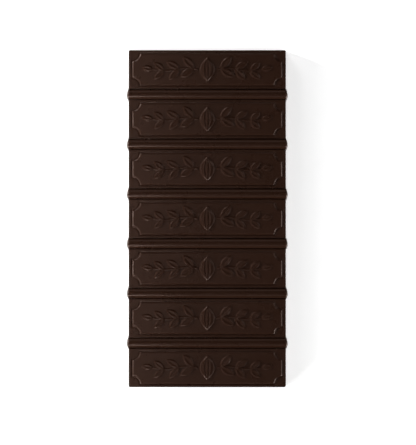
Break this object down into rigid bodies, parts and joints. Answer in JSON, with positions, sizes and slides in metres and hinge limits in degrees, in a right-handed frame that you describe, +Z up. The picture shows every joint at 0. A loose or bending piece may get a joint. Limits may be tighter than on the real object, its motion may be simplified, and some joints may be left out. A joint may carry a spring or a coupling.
{
  "type": "chocolate bar",
  "caption": "Flat dark chocolate bar in a row of panels, with rounded ridges across between them and a framed leaf ornament on each.",
  "frame": {"origin": "centre of the flat back that the bar lies on", "axes": "+Y along the bar's length, +X across it along the ridges, +Z up out of the moulded face"},
  "size_m": [0.0742, 0.155, 0.0066],
  "materials": {
    "dark_chocolate": "smooth moulded dark chocolate with a soft satin gloss"
  },
  "bodies": {
    "root": {"chocolate_bar": "dark_chocolate"}
  },
  "joints": []
}
